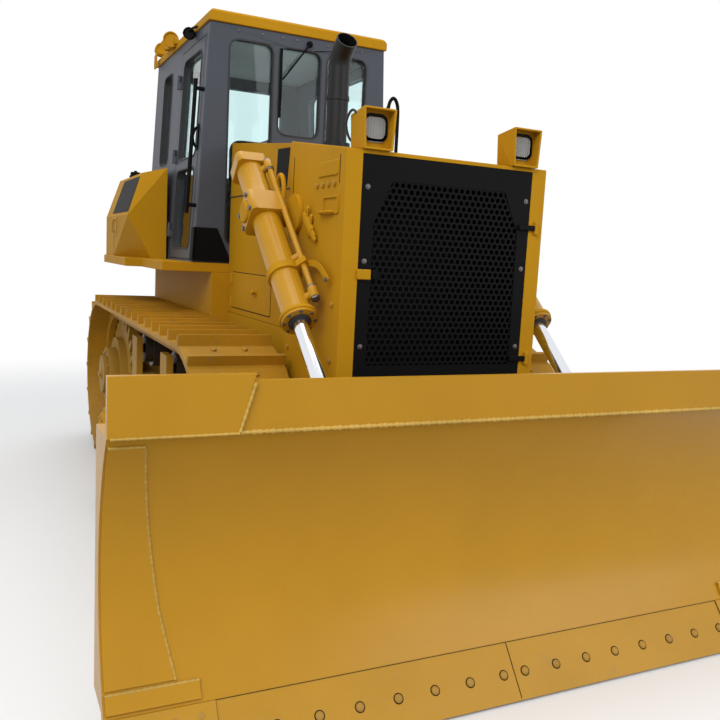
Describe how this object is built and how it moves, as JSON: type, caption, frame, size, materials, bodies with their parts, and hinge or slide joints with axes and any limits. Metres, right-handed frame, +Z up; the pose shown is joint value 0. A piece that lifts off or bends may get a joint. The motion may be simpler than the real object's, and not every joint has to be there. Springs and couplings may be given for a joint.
{
  "type": "bulldozer",
  "caption": "Track-type bulldozer with a wide hollow-faced blade on push arms, lift cylinders on the radiator guard, an enclosed cab with hinged doors and side tanks.",
  "frame": {"origin": "on the ground under the middle of the whole machine's bounding box", "axes": "+Z up, the blade faces -Y, +X toward the machine's left side"},
  "size_m": [3.4, 5.666, 3.449],
  "materials": {
    "yellow_paint": "satin machine yellow",
    "cab_paint": "dark blue-grey satin",
    "cab_glass": "tinted",
    "lamp_lens": "clear",
    "black_paint": "matt black",
    "engine_grey": "dull",
    "cab_plastic": "matt",
    "seat_cloth": "woven",
    "rod_chrome": "polished",
    "track_paint": "worn yellow"
  },
  "bodies": {
    "chassis": {"main_frame": "yellow_paint", "belly_guard": "yellow_paint", "engine_block": "engine_grey", "radiator_core": "engine_grey", "radiator_guard": "yellow_paint", "grilles": "black_paint", "hood": "yellow_paint", "engine_panels": "yellow_paint", "exhaust_stack": "black_paint", "headlamps": "yellow_paint", "headlamp_lenses": "lamp_lens", "platform": "yellow_paint", "side_tanks": "yellow_paint", "fuel_tank": "yellow_paint", "cab_floor": "cab_plastic", "cab_front_wall": "cab_paint", "cab_rear_wall": "cab_paint", "cab_right_side": "cab_paint", "cab_left_side": "cab_paint", "cab_roof": "yellow_paint", "cab_glass": "cab_glass", "seat": "seat_cloth", "dash_console": "cab_plastic", "control_levers": "black_paint", "grab_handles": "black_paint", "rear_lamps": "yellow_paint", "cylinder_yokes": "yellow_paint", "track_frames": "yellow_paint", "tracks": "track_paint", "idlers": "track_paint", "sprockets": "track_paint", "track_rollers": "track_paint", "final_drives": "yellow_paint"},
    "blade": {"push_arms": "yellow_paint", "moldboard": "yellow_paint", "cutting_edge": "yellow_paint", "blade_braces": "yellow_paint"},
    "lift_barrel_right": {"lift_barrel_right": "yellow_paint"},
    "lift_rod_right": {"lift_rod_right": "rod_chrome"},
    "lift_barrel_left": {"lift_barrel_left": "yellow_paint"},
    "lift_rod_left": {"lift_rod_left": "rod_chrome"},
    "door_right": {"door_right": "cab_paint", "door_right_glass": "cab_glass"},
    "door_left": {"door_left": "cab_paint", "door_left_glass": "cab_glass"}
  },
  "joints": [
    {"name": "blade_lift", "type": "hinge", "parent": "chassis", "child": "blade", "pos_m": [0, 0.35, 0.56], "axis": [-1, 0, 0], "range_deg": [-6, 17]},
    {"name": "lift_swing_right", "type": "hinge", "parent": "chassis", "child": "lift_barrel_right", "pos_m": [-0.7, -1.247, 2.054], "axis": [-1, 0, 0], "range_deg": [-8.4, 23.25]},
    {"name": "lift_slide_right", "type": "slide", "parent": "lift_barrel_right", "child": "lift_rod_right", "axis": [0, -0.744, -0.6682], "range_m": [-0.6261, 0.2229]},
    {"name": "lift_swing_left", "type": "hinge", "parent": "chassis", "child": "lift_barrel_left", "pos_m": [0.7, -1.247, 2.054], "axis": [-1, 0, 0], "range_deg": [-8.4, 23.25]},
    {"name": "lift_slide_left", "type": "slide", "parent": "lift_barrel_left", "child": "lift_rod_left", "axis": [0, -0.744, -0.6682], "range_m": [-0.6261, 0.2229]},
    {"name": "door_right_hinge", "type": "hinge", "parent": "chassis", "child": "door_right", "pos_m": [-0.75198, 0.892, 1.75588], "axis": [-0.0489, 0, -0.9988], "range_deg": [0, 85]},
    {"name": "door_left_hinge", "type": "hinge", "parent": "chassis", "child": "door_left", "pos_m": [0.75198, 0.892, 1.75588], "axis": [-0.0489, 0, 0.9988], "range_deg": [0, 85]}
  ],
  "couplings": [
    {"joint": "lift_swing_right", "follows": "blade_lift", "ratio": 1.35},
    {"joint": "lift_swing_left", "follows": "blade_lift", "ratio": 1.35},
    {"joint": "lift_slide_right", "follows": "blade_lift", "m_per_rad": -2.1},
    {"joint": "lift_slide_left", "follows": "blade_lift", "m_per_rad": -2.1}
  ]
}
